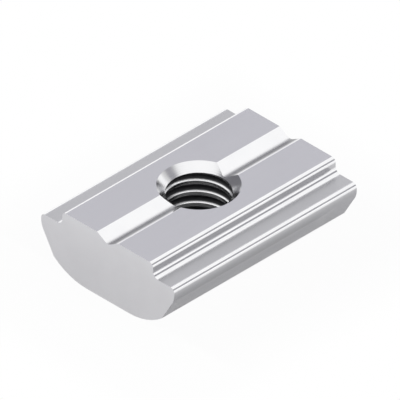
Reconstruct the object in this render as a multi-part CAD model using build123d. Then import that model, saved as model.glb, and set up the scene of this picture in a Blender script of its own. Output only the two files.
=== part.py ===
from build123d import *
import os
from math import radians, tan

# Slot nut: a steel bar drawn to a T-shaped section, cut to length, with one tapped hole through it.
# The raised land slides between the two lips of a slotted extrusion. The ledges beside it clamp
# up against those lips, and the rounded belly below lets the nut drop or tilt into the slot.
#
# Frame: the foot lies on Z = 0 with +Z up, X runs along the bar, and the hole stands on the Z axis.
# All sizes are in millimetres and degrees.

# Bar
LENGTH = 19.0               # cut length of the bar
HEIGHT = 5.7                # foot to the top of the land

# Head: the land and the clamping ledges
LAND_WIDTH = 9.45           # runs with play in a 10 mm slot
LAND_RISE = 1.2             # land above the ledges
HEAD_WIDTH = 13.85          # across both tips, where the nut is widest
TIP_HEIGHT = 1.0            # ledge down to the corner between the upright tip and the flank
FLANK_ANGLE = 30.0          # flank's lean from upright

# Belly: two shallow arcs that run into a flat foot
FOOT_WIDTH = 4.35
BELLY_RISE = 1.23           # foot to the corner where each flank meets the belly

# Rounded corners of the drawn section
LAND_EDGE_RADIUS = 0.4
LEDGE_ROOT_RADIUS = 0.5
TIP_RADIUS = 0.4
SHOULDER_RADIUS = 1.6       # tip to flank
BELLY_CORNER_RADIUS = 0.3

# Centring groove along the land, for the drill
GROOVE_WIDTH = 2.2
GROOVE_ANGLE = 120.0
GROOVE_ROOT_RADIUS = 0.5
GROOVE_EDGE_RADIUS = 0.1

# Tapped hole, modelled at the diameter that the tap drill leaves
THREAD_DIAMETER = 6.0
THREAD_PITCH = 1.0
COUNTERSINK_ANGLE = 90.0
LEAD_IN_CLEARANCE = 0.3     # upper countersink's mouth over the thread's outer diameter
LEAD_OUT_CLEARANCE = 0.1    # the same for the lower countersink


def section_corners():
    """Right half of the section above the belly, as sharp corners with their radii, top to bottom."""
    ledge = HEIGHT - LAND_RISE
    shoulder = ledge - TIP_HEIGHT
    flank_inset = (shoulder - BELLY_RISE) * tan(radians(FLANK_ANGLE))
    return [
        ((GROOVE_WIDTH / 2, HEIGHT), GROOVE_EDGE_RADIUS),
        ((LAND_WIDTH / 2, HEIGHT), LAND_EDGE_RADIUS),
        ((LAND_WIDTH / 2, ledge), LEDGE_ROOT_RADIUS),
        ((HEAD_WIDTH / 2, ledge), TIP_RADIUS),
        ((HEAD_WIDTH / 2, shoulder), SHOULDER_RADIUS),
        ((HEAD_WIDTH / 2 - flank_inset, BELLY_RISE), BELLY_CORNER_RADIUS),
    ]


def bar_section():
    """The drawn section as a face: X is the nut's width here, and Y its height."""
    corners = section_corners()
    right = [point for point, radius in corners]
    left = [(-x, y) for x, y in reversed(right)]
    radii = [radius for point, radius in corners[:-1]]
    groove_root = (0, HEIGHT - GROOVE_WIDTH / 2 / tan(radians(GROOVE_ANGLE / 2)))

    head = FilletPolyline(
        *left, groove_root, *right, radius=[*reversed(radii), GROOVE_ROOT_RADIUS, *radii]
    )
    foot = Line((-FOOT_WIDTH / 2, 0), (FOOT_WIDTH / 2, 0))
    right_belly = TangentArc(foot @ 1, right[-1], tangent=(1, 0))
    left_belly = TangentArc(foot @ 0, left[0], tangent=(-1, 0))
    face = make_face([*head.edges(), foot, right_belly, left_belly])

    # The foot's two ends are the lowest corners, and the belly's corners are the next pair up.
    belly_corners = face.vertices().group_by(Axis.Y)[1]
    return fillet(belly_corners, corners[-1][1])


def drilled_hole():
    """What the drill and the two countersinks take away, from above and from below."""
    bore_radius = (THREAD_DIAMETER - THREAD_PITCH) / 2
    from_above = CounterSinkHole(
        radius=bore_radius,
        counter_sink_radius=(THREAD_DIAMETER + LEAD_IN_CLEARANCE) / 2,
        depth=HEIGHT,
        counter_sink_angle=COUNTERSINK_ANGLE,
    )
    from_below = CounterSinkHole(
        radius=bore_radius,
        counter_sink_radius=(THREAD_DIAMETER + LEAD_OUT_CLEARANCE) / 2,
        depth=HEIGHT,
        counter_sink_angle=COUNTERSINK_ANGLE,
    )
    return Pos(0, 0, HEIGHT) * from_above + Rot(180, 0, 0) * from_below


def slot_nut():
    """The whole nut: the bar, cut to length and drilled in the middle."""
    bar = extrude(Plane.YZ * bar_section(), LENGTH / 2, both=True)
    return bar - drilled_hole()


os.makedirs("parts", exist_ok=True)
export_step(slot_nut(), "parts/slot_nut.step")
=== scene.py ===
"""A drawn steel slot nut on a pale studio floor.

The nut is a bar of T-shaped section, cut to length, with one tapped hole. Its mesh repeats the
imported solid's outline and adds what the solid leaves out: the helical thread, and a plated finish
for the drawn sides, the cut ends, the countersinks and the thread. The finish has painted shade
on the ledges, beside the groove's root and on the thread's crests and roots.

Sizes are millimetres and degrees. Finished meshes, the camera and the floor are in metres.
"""

import logging
import math
from dataclasses import dataclass, field
from enum import IntEnum

import bmesh
import bpy
from mathutils import Matrix, Quaternion, Vector

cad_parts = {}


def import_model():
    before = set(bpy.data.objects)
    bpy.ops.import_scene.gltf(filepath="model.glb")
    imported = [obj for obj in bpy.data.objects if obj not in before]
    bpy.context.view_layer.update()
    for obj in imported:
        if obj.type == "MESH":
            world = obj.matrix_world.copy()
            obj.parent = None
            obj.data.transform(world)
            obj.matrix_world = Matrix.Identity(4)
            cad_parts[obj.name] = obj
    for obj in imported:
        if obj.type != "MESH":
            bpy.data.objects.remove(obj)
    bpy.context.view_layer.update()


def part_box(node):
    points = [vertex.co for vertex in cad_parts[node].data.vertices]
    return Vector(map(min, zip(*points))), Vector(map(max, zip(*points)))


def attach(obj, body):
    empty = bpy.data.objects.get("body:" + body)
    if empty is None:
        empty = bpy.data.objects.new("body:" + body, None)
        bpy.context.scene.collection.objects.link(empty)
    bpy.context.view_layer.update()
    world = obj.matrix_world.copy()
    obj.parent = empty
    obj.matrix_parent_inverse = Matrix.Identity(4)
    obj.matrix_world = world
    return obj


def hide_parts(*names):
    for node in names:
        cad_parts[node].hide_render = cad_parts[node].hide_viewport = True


LOG = logging.getLogger("slot_nut")

NODE = "slot_nut"
BODY = "root"

MILLIMETRE = 0.001
PER_METRE = 1000.0
MERGE_DISTANCE = 1e-4

Colour = tuple[float, float, float]
Hue = Colour | bpy.types.NodeSocket
Span = tuple[float, float]


# Shader graphs


class Value:
    """A number that varies over a surface, so that sums of sockets read as sums."""

    def __init__(self, graph: "Graph", socket: bpy.types.NodeSocket) -> None:
        """Wrap one output socket of a graph.

        Args:
            graph: The graph that holds the socket's node.
            socket: The output to wrap.
        """
        self.graph = graph
        self.socket = socket

    def _math(self, operation: str, *operands: "Value | float") -> "Value":
        """Add one Math node and return its result.

        Args:
            operation: The Math node's operation.
            operands: Its inputs, in order.

        Returns:
            The node's output.
        """
        made = self.graph.node("ShaderNodeMath", {"operation": operation}, dict(enumerate(operands)))
        return Value(self.graph, made.outputs[0])

    def __add__(self, other: "Value | float") -> "Value":
        """Sum."""
        return self._math("ADD", self, other)

    def __radd__(self, other: float) -> "Value":
        """Sum with a number on the left."""
        return self._math("ADD", other, self)

    def __sub__(self, other: "Value | float") -> "Value":
        """Difference."""
        return self._math("SUBTRACT", self, other)

    def __rsub__(self, other: float) -> "Value":
        """Difference from a number on the left."""
        return self._math("SUBTRACT", other, self)

    def __mul__(self, other: "Value | float") -> "Value":
        """Product."""
        return self._math("MULTIPLY", self, other)

    def __rmul__(self, other: float) -> "Value":
        """Product with a number on the left."""
        return self._math("MULTIPLY", other, self)

    def root(self) -> "Value":
        """Square root."""
        return self._math("SQRT", self)

    def sine(self) -> "Value":
        """Sine of an angle in radians."""
        return self._math("SINE", self)

    def magnitude(self) -> "Value":
        """The value without its sign."""
        return self._math("ABSOLUTE", self)

    def larger(self, other: "Value | float") -> "Value":
        """The larger of two values."""
        return self._math("MAXIMUM", self, other)

    def ramp(self, start: float, end: float) -> "Value":
        """Smooth step from 0 at start to 1 at end.

        Args:
            start: Where the step leaves 0.
            end: Where it reaches 1. It may be the smaller of the two.

        Returns:
            The stepped value.
        """
        low, high = sorted((start, end))
        rising = start < end
        made = self.graph.node(
            "ShaderNodeMapRange",
            {"interpolation_type": "SMOOTHSTEP"},
            {0: self, 1: low, 2: high, 3: 0.0 if rising else 1.0, 4: 1.0 if rising else 0.0},
        )
        return Value(self.graph, made.outputs[0])


class Graph:
    """The nodes of one material or world, all added by one method."""

    def __init__(self, tree: bpy.types.NodeTree) -> None:
        """Start from an empty tree.

        Args:
            tree: The node tree to fill.
        """
        self.tree = tree
        tree.nodes.clear()

    def node(
        self,
        kind: str,
        settings: dict[str, object] | None = None,
        sockets: dict[str | int, object] | None = None,
    ) -> bpy.types.Node:
        """Add a node.

        Args:
            kind: The node's type.
            settings: Its own options, set first. "stops" sets a ramp's stops.
            sockets: A value, a Value or a socket for each input, by name or number.

        Returns:
            The new node.
        """
        made = self.tree.nodes.new(kind)
        for name, choice in (settings or {}).items():
            if name == "stops":
                self._set_stops(made.color_ramp, choice)
            else:
                setattr(made, name, choice)
        for name, given in (sockets or {}).items():
            target = made.inputs[name]
            if isinstance(given, Value):
                self.tree.links.new(given.socket, target)
            elif isinstance(given, bpy.types.NodeSocket):
                self.tree.links.new(given, target)
            else:
                target.default_value = given
        return made

    @staticmethod
    def _set_stops(ramp: bpy.types.ColorRamp, stops: list[tuple[float, Colour]]) -> None:
        """Give a colour ramp its stops.

        Args:
            ramp: The ramp, which starts with two stops.
            stops: Each stop's position and colour, from left to right.
        """
        while len(ramp.elements) < len(stops):
            ramp.elements.new(1.0)
        for element, (position, colour) in zip(ramp.elements, stops):
            element.position = position
            element.color = (*colour, 1.0)

    def value(self, socket: bpy.types.NodeSocket) -> Value:
        """Wrap a socket for arithmetic."""
        return Value(self, socket)

    def object_place(self) -> "Place":
        """Read the shaded point in the object's own frame.

        Returns:
            The point, in millimetres.
        """
        coordinates = self.node("ShaderNodeTexCoord")
        scaled = self.node(
            "ShaderNodeMapping",
            {},
            {"Vector": coordinates.outputs["Object"], "Scale": (PER_METRE,) * 3},
        )
        split = self.node("ShaderNodeSeparateXYZ", {}, {0: scaled.outputs[0]})
        return Place(scaled.outputs[0], *(self.value(split.outputs[i]) for i in range(3)))

    def noise(
        self, vector: bpy.types.NodeSocket, scale: tuple[float, float, float], detail: float = 2.0
    ) -> Value:
        """Add smooth noise about 0.5.

        Args:
            vector: The point to read it at.
            scale: How many waves it has per millimetre along X, Y and Z.
            detail: How many finer layers it has.

        Returns:
            The noise.
        """
        stretched = self.node("ShaderNodeMapping", {}, {"Vector": vector, "Scale": scale})
        made = self.node(
            "ShaderNodeTexNoise",
            {"noise_dimensions": "3D"},
            {"Vector": stretched.outputs[0], "Scale": 1.0, "Detail": detail},
        )
        return self.value(made.outputs[0])

    def tint(self, share: Value, first: Hue, second: Hue) -> bpy.types.NodeSocket:
        """Blend two colours.

        Args:
            share: 0 for the first and 1 for the second.
            first: The first colour, or the socket that gives it.
            second: The second colour, or the socket that gives it.

        Returns:
            The blended colour's socket.
        """
        hues = [(*hue, 1.0) if isinstance(hue, tuple) else hue for hue in (first, second)]
        made = self.node(
            "ShaderNodeMix", {"data_type": "RGBA"}, {0: share, 6: hues[0], 7: hues[1]}
        )
        return made.outputs[2]

    def bump(self, height: Value, depth: float) -> bpy.types.NodeSocket:
        """Turn a height into a normal.

        Args:
            height: The height, from 0 to 1.
            depth: What a height of 1 stands for, in millimetres.

        Returns:
            The normal's socket.
        """
        made = self.node(
            "ShaderNodeBump", {}, {"Height": height, "Distance": depth * MILLIMETRE, "Strength": 1.0}
        )
        return made.outputs[0]


@dataclass(frozen=True)
class Place:
    """A shaded point: its vector and its three coordinates, in millimetres."""

    vector: bpy.types.NodeSocket
    x: Value
    y: Value
    z: Value

    def radius(self) -> Value:
        """Return the distance from the hole's axis."""
        return (self.x * self.x + self.y * self.y).root()


# Finishes


class Surface(IntEnum):
    """What made each face of the nut, as its place in the mesh's list of materials."""

    DRAWN = 0
    CUT = 1
    COUNTERSUNK = 2
    TAPPED = 3


@dataclass(frozen=True)
class Plating:
    """Bright zinc plate, which every face of the nut has."""

    bright: Colour = (0.88, 0.88, 0.89)
    dull: Colour = (0.85, 0.85, 0.865)
    roughness: float = 0.15
    clouds: Span = (0.35, 0.75)
    cloud_size: float = 2.5
    cloud_detail: float = 3.0

    def material(self, name: str) -> tuple[bpy.types.Material, Graph]:
        """Make an empty node material.

        Args:
            name: The material's name.

        Returns:
            The material and its graph.
        """
        made = bpy.data.materials.new(name)
        made.use_nodes = True
        return made, Graph(made.node_tree)

    def cloudiness(self, graph: Graph, place: Place) -> Value:
        """Add the plate's cloudiness.

        Args:
            graph: The material's graph.
            place: The shaded point.

        Returns:
            Smooth noise about 0.5.
        """
        return graph.noise(place.vector, (1 / self.cloud_size,) * 3, self.cloud_detail)

    def finish(
        self,
        graph: Graph,
        colour: bpy.types.NodeSocket,
        roughness: Value,
        normal: bpy.types.NodeSocket,
    ) -> None:
        """Add the metal's shader and the output.

        Args:
            graph: The material's graph.
            colour: The metal's colour.
            roughness: Its roughness.
            normal: Its normal.
        """
        shader = graph.node(
            "ShaderNodeBsdfPrincipled",
            {},
            {"Base Color": colour, "Roughness": roughness, "Metallic": 1.0, "Normal": normal},
        )
        graph.node("ShaderNodeOutputMaterial", {}, {"Surface": shader.outputs[0]})


@dataclass(frozen=True, kw_only=True)
class DrawnFinish(Plating):
    """The bar's long sides: fine lines along the draw, and a little cloudiness in the plate.

    The ledges' colour is darkened as painted shade, and they are rougher. A dark line of painted
    shade runs along the groove beside its root. A span gives where a mask starts and where
    it is full.
    """

    land_height: float
    ledge_height: float
    ledge_flat: Span
    ledge_margin: float = 0.1
    # Painted shade: the ledges' colour, darker than the plate's
    ledge_painted_shade: Colour = (0.58, 0.58, 0.595)
    satin_roughness: float = 0.18
    line_width: float = 0.05
    line_length: float = 9.0
    line_depth: float = 0.0006
    line_shine: float = 0.08
    cloud_shine: float = 0.06
    # Painted shade: a dark line along the groove beside its root
    groove_shade: Colour = (0.29, 0.29, 0.30)
    groove_shade_left: Span = (-1.03, -0.60)
    groove_shade_right: Span = (0.28, -0.28)
    groove_shade_depths: Span = (0.02, 0.10)
    groove_shade_waver: float = 0.05
    groove_shade_roughness: float = 0.2

    def build(self) -> bpy.types.Material:
        """Make the finish.

        Returns:
            The material.
        """
        material, graph = self.material("drawn_sides")
        place = graph.object_place()
        across = 1 / self.line_width
        lines = graph.noise(place.vector, (1 / self.line_length, across, across))
        clouds = self.cloudiness(graph, place)
        plate = graph.tint(clouds.ramp(*self.clouds), self.bright, self.dull)
        # The ledges and the line in the groove are masks for darker colours: painted shade over the
        # plate
        groove_shade = self._groove_shade(place, lines)
        ledge = self._ledge(place)
        shine = self.roughness + (lines - 0.5) * self.line_shine + (clouds - 0.5) * self.cloud_shine
        self.finish(
            graph,
            graph.tint(groove_shade, graph.tint(ledge, plate, self.ledge_painted_shade), self.groove_shade),
            shine + groove_shade * self.groove_shade_roughness + ledge * self.satin_roughness,
            graph.bump(lines, self.line_depth),
        )
        return material

    def _groove_shade(self, place: Place, lines: Value) -> Value:
        """Mask the dark line of painted shade in the groove.

        Args:
            place: The shaded point.
            lines: The drawn lines' noise, by which the edges of the dark line waver.

        Returns:
            1 on the line and 0 beside it.
        """
        across = place.y + (lines - 0.5) * self.groove_shade_waver
        inside = across.ramp(*self.groove_shade_left) * across.ramp(*self.groove_shade_right)
        below_land = place.z.ramp(*(self.land_height - depth for depth in self.groove_shade_depths))
        upper_half = place.z.ramp(self.land_height / 2, self.land_height / 2 + 1)
        return inside * below_land * upper_half

    def _ledge(self, place: Place) -> Value:
        """Mask the flat part of the two ledges, whose colour is darkened as painted shade.

        Args:
            place: The shaded point.

        Returns:
            1 on the ledges and 0 elsewhere.
        """
        aside = place.y.magnitude()
        inner, outer = self.ledge_flat
        margin = self.ledge_margin
        flat = aside.ramp(inner - margin, inner + margin) * aside.ramp(outer + margin, outer - margin)
        return flat * place.z.ramp(self.ledge_height - 4 * margin, self.ledge_height - 2 * margin)


@dataclass(frozen=True)
class CutFinish(Plating):
    """The two cut ends: faint marks across the bar, left by the saw and softened by tumbling."""

    bright: Colour = (0.87, 0.865, 0.89)
    dull: Colour = (0.85, 0.845, 0.87)
    roughness: float = 0.30
    cloud_size: float = 2.0
    marks_per_millimetre: tuple[float, float, float] = (1.0, 0.12, 6.25)
    mark_depth: float = 0.0005
    mark_shine: float = 0.10

    def build(self) -> bpy.types.Material:
        """Make the finish.

        Returns:
            The material.
        """
        material, graph = self.material("cut_ends")
        place = graph.object_place()
        marks = graph.noise(place.vector, self.marks_per_millimetre)
        clouds = self.cloudiness(graph, place)
        self.finish(
            graph,
            graph.tint(clouds.ramp(*self.clouds), self.bright, self.dull),
            self.roughness + (marks - 0.5) * self.mark_shine,
            graph.bump(marks, self.mark_depth),
        )
        return material


@dataclass(frozen=True)
class TurnedFinish(Plating):
    """The countersinks: rings round the axis, left by the tool."""

    roughness: float = 0.16
    clouds: Span = (0.3, 0.8)
    cloud_size: float = 1.25
    cloud_detail: float = 2.0
    ring_pitch: float = 0.11
    ring_waver: float = 0.06
    ring_depth: float = 0.0005
    ring_shine: float = 0.05

    def build(self) -> bpy.types.Material:
        """Make the finish.

        Returns:
            The material.
        """
        material, graph = self.material("countersinks")
        place = graph.object_place()
        clouds = self.cloudiness(graph, place)
        turned = (place.radius() + clouds * self.ring_waver) * (math.tau / self.ring_pitch)
        rings = turned.sine() * 0.5 + 0.5
        self.finish(
            graph,
            graph.tint(clouds.ramp(*self.clouds), self.bright, self.dull),
            self.roughness + rings * self.ring_shine,
            graph.bump(rings, self.ring_depth),
        )
        return material


@dataclass(frozen=True)
class ThreadFinish(Plating):
    """The thread: crests and roots darkened as painted shade, edges brightened as painted highlight."""

    # The edges' colour, a little brighter than the plate's: painted highlight
    bright: Colour = (0.95, 0.95, 0.96)
    roughness: float = 0.22
    # Painted shade: the crests' colour, darker than the plate's
    crest: Colour = (0.27, 0.27, 0.275)
    # Painted shade: the roots' colour
    shadow: Colour = (0.10, 0.10, 0.105)
    shadow_roughness: float = 0.3
    edge_radii: Span = (2.502, 2.514)
    shadow_radii: Span = (2.58, 2.70)
    grains_per_millimetre: tuple[float, float, float] = (3.0, 3.0, 9.0)
    grain_waver: float = 0.04
    grain_depth: float = 0.002

    def build(self) -> bpy.types.Material:
        """Make the finish.

        Returns:
            The material.
        """
        material, graph = self.material("thread")
        place = graph.object_place()
        grain = graph.noise(place.vector, self.grains_per_millimetre)
        # Crests and roots get painted shade, and the edges between them a brightened plate colour
        radius = place.radius()
        edge = graph.tint(radius.ramp(*self.edge_radii), self.crest, self.bright)
        depth = (radius + (grain - 0.5) * self.grain_waver).ramp(*self.shadow_radii)
        self.finish(
            graph,
            graph.tint(depth, edge, self.shadow),
            self.roughness + depth * self.shadow_roughness,
            graph.bump(grain, self.grain_depth),
        )
        return material


# Modelling helpers


class Pen:
    """Draws an outline of straight runs and true arcs in a flat plane of a mesh."""

    ARC_STEP = math.radians(7.5)

    def __init__(self, mesh: bmesh.types.BMesh, start: Vector, normal: Vector) -> None:
        """Set the pen down.

        Args:
            mesh: The mesh to draw in.
            start: The first point.
            normal: The plane's normal, which sees a left turn as positive.
        """
        self.mesh = mesh
        self.normal = normal
        self.tip = mesh.verts.new(start)

    def line(self, end: Vector) -> None:
        """Draw a straight run to a point."""
        self.tip = bmesh.ops.extrude_vert_indiv(self.mesh, verts=[self.tip])["verts"][0]
        self.tip.co = end

    def arc(self, centre: Vector, turn: float) -> None:
        """Draw an arc.

        Args:
            centre: The arc's centre.
            turn: How far it turns, in radians, with left turns positive.
        """
        steps = max(3, math.ceil(abs(turn) / self.ARC_STEP))
        made = bmesh.ops.spin(
            self.mesh, geom=[self.tip], cent=centre, axis=self.normal, angle=turn, steps=steps
        )
        self.tip = next(part for part in made["geom_last"] if isinstance(part, bmesh.types.BMVert))

    def corner(self, at: Vector, towards: Vector, radius: float) -> None:
        """Draw up to a corner and round it.

        Args:
            at: The sharp corner.
            towards: A point on the run that follows it.
            radius: The rounding's radius.
        """
        arriving = (at - self.tip.co).normalized()
        leaving = (towards - at).normalized()
        turn = math.atan2(self.normal.dot(arriving.cross(leaving)), arriving.dot(leaving))
        self.line(at - arriving * (radius * math.tan(abs(turn) / 2)))
        inwards = self.normal.cross(arriving) * math.copysign(radius, turn)
        self.arc(self.tip.co + inwards, turn)


def mesh_object(name: str, mesh: bmesh.types.BMesh) -> bpy.types.Object:
    """Put a bmesh into a new object of the scene.

    Args:
        name: The object's name.
        mesh: The bmesh, which is freed.

    Returns:
        The object.
    """
    bmesh.ops.recalc_face_normals(mesh, faces=mesh.faces[:])
    data = bpy.data.meshes.new(name)
    mesh.to_mesh(data)
    mesh.free()
    made = bpy.data.objects.new(name, data)
    bpy.context.scene.collection.objects.link(made)
    return made


# The nut


@dataclass(frozen=True)
class BarSection:
    """The drawn section's sizes, in millimetres and degrees, and its outline."""

    height: float
    head_width: float
    land_width: float = 9.45
    land_rise: float = 1.2
    tip_height: float = 1.0
    flank_angle: float = 30.0
    foot_width: float = 4.35
    belly_rise: float = 1.23
    land_edge_radius: float = 0.4
    ledge_root_radius: float = 0.5
    tip_radius: float = 0.4
    shoulder_radius: float = 1.6
    belly_corner_radius: float = 0.3
    groove_width: float = 2.2
    groove_angle: float = 120.0
    groove_root_radius: float = 0.5
    groove_edge_radius: float = 0.1

    @property
    def ledge_height(self) -> float:
        """The ledges' height above the foot."""
        return self.height - self.land_rise

    @property
    def ledge_flat(self) -> Span:
        """Where the flat part of a ledge starts and ends, from the bar's middle."""
        return (self.land_width / 2 + self.ledge_root_radius, self.head_width / 2 - self.tip_radius)

    def corners(self) -> list[tuple[Vector, float]]:
        """Place the right half's sharp corners, from the groove's edge down.

        Returns:
            Each corner with its rounding's radius.
        """
        half_head = self.head_width / 2
        half_land = self.land_width / 2
        ledge = self.ledge_height
        shoulder = ledge - self.tip_height
        inset = (shoulder - self.belly_rise) * math.tan(math.radians(self.flank_angle))
        return [
            (Vector((0, self.groove_width / 2, self.height)), self.groove_edge_radius),
            (Vector((0, half_land, self.height)), self.land_edge_radius),
            (Vector((0, half_land, ledge)), self.ledge_root_radius),
            (Vector((0, half_head, ledge)), self.tip_radius),
            (Vector((0, half_head, shoulder)), self.shoulder_radius),
            (Vector((0, half_head - inset, self.belly_rise)), 0.0),
        ]

    def belly(self) -> tuple[float, float]:
        """Work out the belly's arc, which meets the foot tangent and ends at the flank's corner.

        Returns:
            The arc's radius, and how far it turns, in radians.
        """
        corner = self.corners()[-1][0]
        run = corner.y - self.foot_width / 2
        radius = (run * run + corner.z * corner.z) / (2 * corner.z)
        return radius, math.asin(run / radius)

    def belly_corner_turn(self) -> float:
        """Return how sharply the outline turns from flank to belly, in radians."""
        return math.pi / 2 - math.radians(self.flank_angle) - self.belly()[1]

    def draw(self, mesh: bmesh.types.BMesh) -> None:
        """Draw the whole section as one face in the plane X = 0.

        Args:
            mesh: The mesh to draw in.
        """
        corners = self.corners()
        half_angle = math.radians(self.groove_angle / 2)
        flank_lean = math.pi / 2 - half_angle
        sharp_root = Vector((0, 0, self.height - self.groove_width / 2 / math.tan(half_angle)))
        centre = sharp_root + Vector((0, 0, self.groove_root_radius / math.cos(flank_lean)))

        pen = Pen(mesh, centre - Vector((0, 0, self.groove_root_radius)), Vector((1, 0, 0)))
        pen.arc(centre, flank_lean)
        for (corner, radius), (following, _) in zip(corners, corners[1:]):
            pen.corner(corner, following, radius)
        pen.line(corners[-1][0])
        radius, sweep = self.belly()
        pen.arc(Vector((0, self.foot_width / 2, radius)), -sweep)
        pen.line(Vector((0, 0, 0)))

        half = mesh.verts[:] + mesh.edges[:]
        bmesh.ops.mirror(mesh, geom=half, axis="Y", merge_dist=MERGE_DISTANCE)
        bmesh.ops.remove_doubles(mesh, verts=mesh.verts[:], dist=MERGE_DISTANCE)
        bmesh.ops.contextual_create(mesh, geom=mesh.edges[:])


@dataclass(frozen=True)
class Thread:
    """A right-hand internal thread and its countersinks, in millimetres and degrees."""

    diameter: float = 6.0
    pitch: float = 1.0
    flank_angle: float = 30.0
    root_flat_share: float = 1 / 8
    crest_radius: float = 0.08
    root_radius: float = 0.1
    steps_per_turn: int = 96
    lead_in_clearance: float = 0.3
    lead_out_clearance: float = 0.1
    overlap: float = 0.005
    spare: float = 1.0
    first_crest_depth: float = 1.38
    first_crest_bearing: float = 45.0

    @property
    def bore_radius(self) -> float:
        """The radius that the tap drill leaves, which is the crests' too."""
        return (self.diameter - self.pitch) / 2

    def countersink_depth(self, clearance: float) -> float:
        """Return how deep a 90 degree countersink goes before it meets the bore."""
        return (self.diameter + clearance) / 2 - self.bore_radius

    def draw_tap(self, mesh: bmesh.types.BMesh, low: float, high: float, top: float) -> None:
        """Model the tap that cuts the thread, as a closed solid.

        Args:
            mesh: The mesh to model it in.
            low: The solid's lower end.
            high: Its upper end.
            top: The height that the first crest's depth is counted from.
        """
        crest = self.bore_radius
        root = self.diameter / 2
        rise = (root - crest) * math.tan(math.radians(self.flank_angle))
        root_flat = self.pitch * self.root_flat_share
        crest_half = (self.pitch - root_flat) / 2 - rise
        pitch_start = top - self.first_crest_depth - crest_half
        turns_down = math.ceil((pitch_start - low) / self.pitch) + 1
        turns = turns_down + math.ceil((high - pitch_start) / self.pitch) + 1
        base = pitch_start - turns_down * self.pitch

        def at(radius: float, rise_from_base: float) -> Vector:
            """Place a point of the tap's outline."""
            return Vector((radius, 0, base + rise_from_base))

        corners = [
            (at(crest, crest_half), self.crest_radius),
            (at(root, crest_half + rise), self.root_radius),
            (at(root, crest_half + rise + root_flat), self.root_radius),
            (at(crest, self.pitch - crest_half), self.crest_radius),
            (at(crest, self.pitch), 0.0),
        ]
        pen = Pen(mesh, at(crest, 0), Vector((0, -1, 0)))
        for (corner, radius), (following, _) in zip(corners, corners[1:]):
            pen.corner(corner, following, radius)
        pen.line(corners[-1][0])

        bearing = Quaternion((0, 0, 1), math.radians(self.first_crest_bearing))
        bmesh.ops.rotate(mesh, verts=mesh.verts[:], matrix=bearing.to_matrix())
        bmesh.ops.spin(
            mesh,
            geom=mesh.verts[:] + mesh.edges[:],
            cent=(0, 0, 0),
            axis=(0, 0, 1),
            dvec=(0, 0, self.pitch / self.steps_per_turn),
            angle=math.tau * turns,
            steps=self.steps_per_turn * turns,
        )
        bmesh.ops.remove_doubles(mesh, verts=mesh.verts[:], dist=MERGE_DISTANCE)
        for height, side in ((low, -1), (high, 1)):
            bmesh.ops.bisect_plane(
                mesh,
                geom=mesh.verts[:] + mesh.edges[:] + mesh.faces[:],
                dist=MERGE_DISTANCE / 100,
                plane_co=(0, 0, height),
                plane_no=(0, 0, side),
                clear_outer=True,
            )
            rim = [edge for edge in mesh.edges if edge.is_boundary and _level(edge, height)]
            bmesh.ops.contextual_create(mesh, geom=rim)

    def draw_countersink(
        self, mesh: bmesh.types.BMesh, surface: float, clearance: float, side: int
    ) -> None:
        """Model the cone that cuts a 90 degree countersink.

        Args:
            mesh: The mesh to model it in.
            surface: The height of the face that it's cut from.
            clearance: How much wider its mouth is than the thread.
            side: 1 if it opens upwards and -1 if it opens downwards.
        """
        mouth = (self.diameter + clearance) / 2
        tall = mouth + self.spare
        bmesh.ops.create_cone(
            mesh,
            cap_ends=True,
            segments=self.steps_per_turn,
            radius1=0.0,
            radius2=tall,
            depth=tall,
            matrix=Matrix.Translation((0, 0, tall / 2)),
        )
        if side < 0:
            bmesh.ops.rotate(mesh, verts=mesh.verts[:], matrix=Matrix.Rotation(math.pi, 3, "X"))
        bmesh.ops.translate(mesh, verts=mesh.verts[:], vec=(0, 0, surface - side * mouth))


def _level(edge: bmesh.types.BMEdge, height: float) -> bool:
    """Return True if both ends of an edge lie at a height."""
    return all(abs(vert.co.z - height) < MERGE_DISTANCE for vert in edge.verts)


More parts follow.
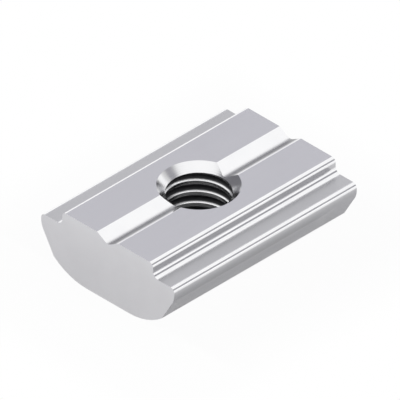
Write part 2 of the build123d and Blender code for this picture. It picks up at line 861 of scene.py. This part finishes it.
@dataclass
class SlotNut:
    """The whole nut: its bar, its hole and its finishes."""

    length: float
    section: BarSection
    thread: Thread = field(default_factory=Thread)
    sharp_angle: float = 14.0
    flat_weight: int = 100
    belly_corner_segments: int = 4

    @classmethod
    def from_frame(cls, low: Vector, high: Vector) -> "SlotNut":
        """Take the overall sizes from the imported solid.

        Args:
            low: The solid's lowest corner, in metres.
            high: Its highest corner.

        Returns:
            The nut.
        """
        size = (high - low) * PER_METRE
        return cls(length=size.x, section=BarSection(height=size.z, head_width=size.y))

    def build(self) -> bpy.types.Object:
        """Model the nut, dress it and tie it to the frame.

        Returns:
            The finished object.
        """
        bar = self._bar()
        cutters = [self._tap(), *self._countersinks()]
        finishes = self._finishes()
        for piece in (bar, *cutters):
            for finish in finishes:
                piece.data.materials.append(finish)
        nut = self._cut(bar, cutters)
        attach(nut, BODY)
        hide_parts(NODE)
        LOG.info("%s: %d faces", nut.name, len(nut.data.polygons))
        return nut

    def _bar(self) -> bpy.types.Object:
        """Model the bar, cut to length.

        Returns:
            The bar, with its drawn and cut faces told apart.
        """
        mesh = bmesh.new()
        self.section.draw(mesh)
        made = bmesh.ops.extrude_face_region(mesh, geom=mesh.faces[:])
        moved = [part for part in made["geom"] if isinstance(part, bmesh.types.BMVert)]
        bmesh.ops.translate(mesh, verts=moved, vec=(self.length, 0, 0))
        bmesh.ops.translate(mesh, verts=mesh.verts[:], vec=(-self.length / 2, 0, 0))
        self._round_belly_corners(mesh)
        mesh.normal_update()
        for face in mesh.faces:
            face.material_index = Surface.CUT if abs(face.normal.x) > 0.5 else Surface.DRAWN
        return mesh_object("bar", mesh)

    def _round_belly_corners(self, mesh: bmesh.types.BMesh) -> None:
        """Round the two long edges where the flanks meet the belly.

        Args:
            mesh: The bar's mesh.
        """
        corner = self.section.corners()[-1][0]

        def at_corner(vert: bmesh.types.BMVert) -> bool:
            """Return True if a point lies on either of the two corners' long edges."""
            place = Vector((0, abs(vert.co.y), vert.co.z))
            return (place - corner).length < 10 * MERGE_DISTANCE

        edges = [edge for edge in mesh.edges if all(at_corner(vert) for vert in edge.verts)]
        bmesh.ops.bevel(
            mesh,
            geom=edges,
            offset=self.section.belly_corner_radius * math.tan(self.section.belly_corner_turn() / 2),
            offset_type="OFFSET",
            segments=self.belly_corner_segments,
            profile=0.5,
            affect="EDGES",
            material=-1,
        )

    def _tap(self) -> bpy.types.Object:
        """Model the solid that cuts the thread, from one countersink to the other.

        Returns:
            The cutter.
        """
        mesh = bmesh.new()
        thread = self.thread
        top = self.section.height
        low = thread.countersink_depth(thread.lead_out_clearance)
        high = top - thread.countersink_depth(thread.lead_in_clearance)
        thread.draw_tap(mesh, low - thread.overlap, high + thread.overlap, top)
        for face in mesh.faces:
            face.material_index = Surface.TAPPED
        return mesh_object("tap", mesh)

    def _countersinks(self) -> list[bpy.types.Object]:
        """Model the cones that cut the two countersinks.

        Returns:
            The upper cutter and the lower one.
        """
        thread = self.thread
        made = []
        for name, surface, clearance, side in (
            ("upper_countersink", self.section.height, thread.lead_in_clearance, 1),
            ("lower_countersink", 0.0, thread.lead_out_clearance, -1),
        ):
            mesh = bmesh.new()
            thread.draw_countersink(mesh, surface, clearance, side)
            for face in mesh.faces:
                face.material_index = Surface.COUNTERSUNK
            made.append(mesh_object(name, mesh))
        return made

    def _finishes(self) -> list[bpy.types.Material]:
        """Make the four finishes.

        Returns:
            Their materials, in the order of Surface.
        """
        section = self.section
        drawn = DrawnFinish(
            land_height=section.height,
            ledge_height=section.ledge_height,
            ledge_flat=section.ledge_flat,
        )
        return [finish.build() for finish in (drawn, CutFinish(), TurnedFinish(), ThreadFinish())]

    def _cut(self, bar: bpy.types.Object, cutters: list[bpy.types.Object]) -> bpy.types.Object:
        """Cut the hole, smooth the curved faces and bring the mesh to metres.

        Args:
            bar: The plain bar, which is removed.
            cutters: The solids that cut it, which are removed.

        Returns:
            The nut's object, at the origin.
        """
        for cutter in cutters:
            cut = bar.modifiers.new(cutter.name, "BOOLEAN")
            cut.operation = "DIFFERENCE"
            cut.solver = "EXACT"
            cut.object = cutter
        mesh = bmesh.new()
        mesh.from_mesh(self._evaluated(bar))
        bmesh.ops.remove_doubles(mesh, verts=mesh.verts[:], dist=MERGE_DISTANCE / 10)
        bmesh.ops.dissolve_degenerate(mesh, edges=mesh.edges[:], dist=MERGE_DISTANCE / 10)
        bmesh.ops.scale(mesh, verts=mesh.verts[:], vec=(MILLIMETRE,) * 3)
        nut = mesh_object("slot_nut_dressed", mesh)
        for finish in bar.data.materials:
            nut.data.materials.append(finish)
        nut.data.shade_smooth()
        nut.data.set_sharp_from_angle(angle=math.radians(self.sharp_angle))
        weighted = nut.modifiers.new("flat_faces_stay_flat", "WEIGHTED_NORMAL")
        weighted.keep_sharp = True
        weighted.weight = self.flat_weight
        smooth = self._evaluated(nut)
        nut.modifiers.clear()
        nut.data = smooth
        for used in (bar, *cutters):
            bpy.data.objects.remove(used)
        return nut

    @staticmethod
    def _evaluated(thing: bpy.types.Object) -> bpy.types.Mesh:
        """Apply an object's modifiers.

        Args:
            thing: The object, which stays as it is.

        Returns:
            A new mesh.
        """
        graph = bpy.context.evaluated_depsgraph_get()
        return bpy.data.meshes.new_from_object(
            thing.evaluated_get(graph), preserve_all_data_layers=True, depsgraph=graph
        )


# The studio


@dataclass(frozen=True)
class Panorama:
    """The room's light: a bright ceiling, a cool grey wall band and a bright horizon.

    Beside the nut and ahead of it, low windows light the foot of the wall. The wall is dim to the
    nut's far left, where no light stands, and a little dimmer on the near side. Straight ahead of
    the nut the horizon is dark.

    A direction is its share along the nut, across it and upwards, so a height is the sine of an
    elevation. A span gives where a part of the room starts and where it is full.
    """

    # Elevation in degrees and brightness, from straight down to straight up
    bands: tuple[tuple[float, float], ...] = (
        (-90.0, 1.10),
        (15.0, 1.10),
        (18.0, 0.54),
        (38.5, 0.54),
        (41.0, 1.08),
        (60.0, 1.08),
        (75.0, 1.00),
        (90.0, 1.00),
    )
    brightest: float = 2.0
    wall_tint: Colour = (0.985, 0.975, 1.06)
    wall_heights: Span = (0.707, 0.627)

    dim_level: float = 0.18
    dim_side: Span = (0.40, 0.60)

    window_level: float = 1.12
    window_sides: Span = (0.3, 0.5)
    window_ahead: Span = (0.60, 0.75)
    window_heights: Span = (0.43, 0.39)
    window_lean_across: float = 0.07
    window_lean_along: float = 0.6
    land_reflection: float = math.sqrt(1 / 3)

    ahead_level: float = 0.06
    ahead: Span = (0.80, 0.93)
    ahead_heights: Span = (0.22, 0.13)

    near_share: float = 0.59
    near_side: Span = (0.3, -0.1)
    near_heights: Span = (0.34, 0.40)

    def build(self) -> None:
        """Light the scene's world."""
        world = bpy.data.worlds.new("studio")
        bpy.context.scene.world = world
        world.use_nodes = True
        graph = Graph(world.node_tree)
        direction = graph.node("ShaderNodeTexCoord").outputs["Generated"]
        split = graph.node("ShaderNodeSeparateXYZ", {}, {0: direction}).outputs
        along, across, upwards = (graph.value(socket) for socket in split)
        stops = [
            (math.sin(math.radians(elevation)) / 2 + 0.5, self._stop(level))
            for elevation, level in self.bands
        ]
        ramp = graph.node("ShaderNodeValToRGB", {"stops": stops}, {0: upwards * 0.5 + 0.5})
        wall = upwards.ramp(*self.wall_heights)

        dim = ((across - along) * math.sqrt(0.5)).ramp(*self.dim_side)
        colour = graph.tint(dim * wall, ramp.outputs[0], self._stop(self.dim_level))
        height = upwards - across * self.window_lean_across
        height = height - (along - self.land_reflection) * self.window_lean_along
        beside = across.magnitude().ramp(*self.window_sides).larger(along.ramp(*self.window_ahead))
        window = beside * height.ramp(*self.window_heights) * (1 - dim)
        colour = graph.tint(window, colour, self._stop(self.window_level))
        ahead = along.ramp(*self.ahead) * upwards.ramp(*self.ahead_heights)
        colour = graph.tint(ahead, colour, self._stop(self.ahead_level))

        near = across.ramp(*self.near_side) * wall * upwards.ramp(*self.near_heights)
        strength = (near * (self.near_share - 1) + 1) * self.brightest
        light = graph.node("ShaderNodeBackground", {}, {"Color": colour, "Strength": strength})
        graph.node("ShaderNodeOutputWorld", {}, {"Surface": light.outputs[0]})
        LOG.info("studio: panorama")

    def _stop(self, level: float) -> Colour:
        """Work out a part's colour, as a share of the brightest that a ramp's stop may hold.

        Args:
            level: The part's brightness, which is under 1 on the tinted wall.

        Returns:
            The colour.
        """
        tint = self.wall_tint if level < 1.0 else (1.0, 1.0, 1.0)
        red, green, blue = (level / self.brightest * share for share in tint)
        return (red, green, blue)


@dataclass(frozen=True)
class Floor:
    """A wide pale floor with the nut's soft shadow, which turns white further out.

    A soft grey ring of painted shadow lies round the nut on all sides but its near end. To the camera
    it is nearly white, but the nut's sides mirror it, and its near end and underside mirror an even
    light grey.
    A span gives where a part of the floor starts and where it is full, in millimetres from the
    nut's outline or, where it says so, from its middle.
    """

    length: float
    width: float
    radius: float = 1.5
    drop: float = 0.02
    pale: Colour = (0.92, 0.92, 0.92)
    # Painted shadow: the ring's colour round the nut
    grey: Colour = (0.53, 0.53, 0.54)
    even: Colour = (0.67, 0.67, 0.67)
    even_share: float = 0.8
    white_share: float = 0.96
    white: Span = (6.0, 10.0)
    ring_inside: Span = (-2.6, 0.8)
    ring_outside: Span = (8.0, 2.0)
    ring_end_width: float = 1.0
    ring_far_side: Span = (-4.0, 10.0)
    ring_far_share: float = 0.30
    under_ends: Span = (0.5, 0.0)
    # From the nut's middle line, and from the hole's axis
    under: Span = (4.9, 3.9)
    under_hole: Span = (2.5, 3.0)

    def build(self) -> None:
        """Lay the floor at the nut's foot."""
        mesh = bmesh.new()
        bmesh.ops.create_circle(mesh, cap_ends=True, segments=96, radius=self.radius)
        floor = mesh_object("floor", mesh)
        floor.location.z = -self.drop * MILLIMETRE
        floor.data.materials.append(self._material())
        LOG.info("studio: floor")

    def _material(self) -> bpy.types.Material:
        """Make the floor's material.

        Returns:
            The material, which is clear from below.
        """
        material = bpy.data.materials.new("pale_floor")
        material.use_nodes = True
        graph = Graph(material.node_tree)
        place = graph.object_place()
        past_end = place.x.magnitude() - self.length / 2
        beyond = past_end.larger(place.y.magnitude() - self.width / 2)
        away = beyond.ramp(*self.white)
        past_near_end = place.x.ramp(-self.length / 2, -self.length / 2 + self.ring_end_width)
        ringed = past_near_end.larger(place.y.ramp(*self.ring_far_side) * self.ring_far_share)
        # The ring of painted shadow round the nut
        ring = beyond.ramp(*self.ring_inside) * ringed * beyond.ramp(*self.ring_outside)
        colour = graph.tint(ring, self.pale, self.grey)
        lit = graph.node("ShaderNodeBsdfDiffuse", {}, {"Color": colour})

        path = graph.node("ShaderNodeLightPath").outputs
        seen = graph.value(path["Is Camera Ray"])
        mirrored = graph.value(path["Is Glossy Ray"]) + graph.value(path["Is Transmission Ray"])
        under = place.y.magnitude().ramp(*self.under) * past_end.ramp(*self.under_ends)
        under = under * place.radius().ramp(*self.under_hole)
        seen_share = away * (1 - self.white_share) + self.white_share
        mirrored_share = away.larger((1 - ringed) * self.even_share).larger(under)
        glow = graph.node(
            "ShaderNodeEmission",
            {},
            {"Color": graph.tint(away.larger(seen), self.even, (1.0, 1.0, 1.0)), "Strength": 1.0},
        )
        share = seen * seen_share + mirrored * mirrored_share
        above = graph.node("ShaderNodeMixShader", {}, {0: share, 1: lit.outputs[0], 2: glow.outputs[0]})

        behind = graph.value(graph.node("ShaderNodeNewGeometry").outputs["Backfacing"])
        clear = graph.node("ShaderNodeBsdfTransparent")
        both = graph.node(
            "ShaderNodeMixShader", {}, {0: behind, 1: above.outputs[0], 2: clear.outputs[0]}
        )
        graph.node("ShaderNodeOutputMaterial", {}, {"Surface": both.outputs[0]})
        return material


@dataclass(frozen=True)
class Camera:
    """A parallel view from above one corner, as in an isometric drawing."""

    azimuth: float = -45.0
    elevation: float = 35.264
    frame_pixels: float = 400.0
    pixels_per_millimetre: float = 13.588
    hole_column: float = 199.0
    hole_row: float = 185.0
    distance: float = 0.3

    def build(self, hole: Vector) -> None:
        """Place the camera so that the hole's mouth falls on its place in the picture.

        Args:
            hole: The middle of the hole in the land's plane, in metres.
        """
        turn = math.radians(self.azimuth)
        lift = math.radians(self.elevation)
        back = Vector(
            (math.sin(turn) * math.cos(lift), -math.cos(turn) * math.cos(lift), math.sin(lift))
        )
        facing = (-back).to_track_quat("-Z", "Y")
        right = facing @ Vector((1, 0, 0))
        up = facing @ Vector((0, 1, 0))
        pixel = MILLIMETRE / self.pixels_per_millimetre
        middle = self.frame_pixels / 2
        aim = hole + right * ((middle - self.hole_column) * pixel)
        aim += up * ((self.hole_row - middle) * pixel)

        lens = bpy.data.cameras.new("camera")
        lens.type = "ORTHO"
        lens.ortho_scale = self.frame_pixels * pixel
        lens.clip_start = 0.001
        lens.clip_end = 10.0
        camera = bpy.data.objects.new("camera", lens)
        camera.location = aim + back * self.distance
        camera.rotation_mode = "QUATERNION"
        camera.rotation_quaternion = facing
        bpy.context.scene.collection.objects.link(camera)
        bpy.context.scene.camera = camera
        LOG.info("studio: camera")


def main() -> None:
    """Build the nut and its studio."""
    logging.basicConfig(level=logging.INFO, format="%(name)s: %(message)s")
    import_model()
    low, high = (Vector(corner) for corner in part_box(NODE))
    bpy.context.scene.view_settings.view_transform = "Standard"

    nut = SlotNut.from_frame(low, high)
    Panorama().build()
    Floor(length=nut.length, width=nut.section.head_width).build()
    Camera().build(Vector((0, 0, high.z)))
    nut.build()


if __name__ == "__main__":
    main()
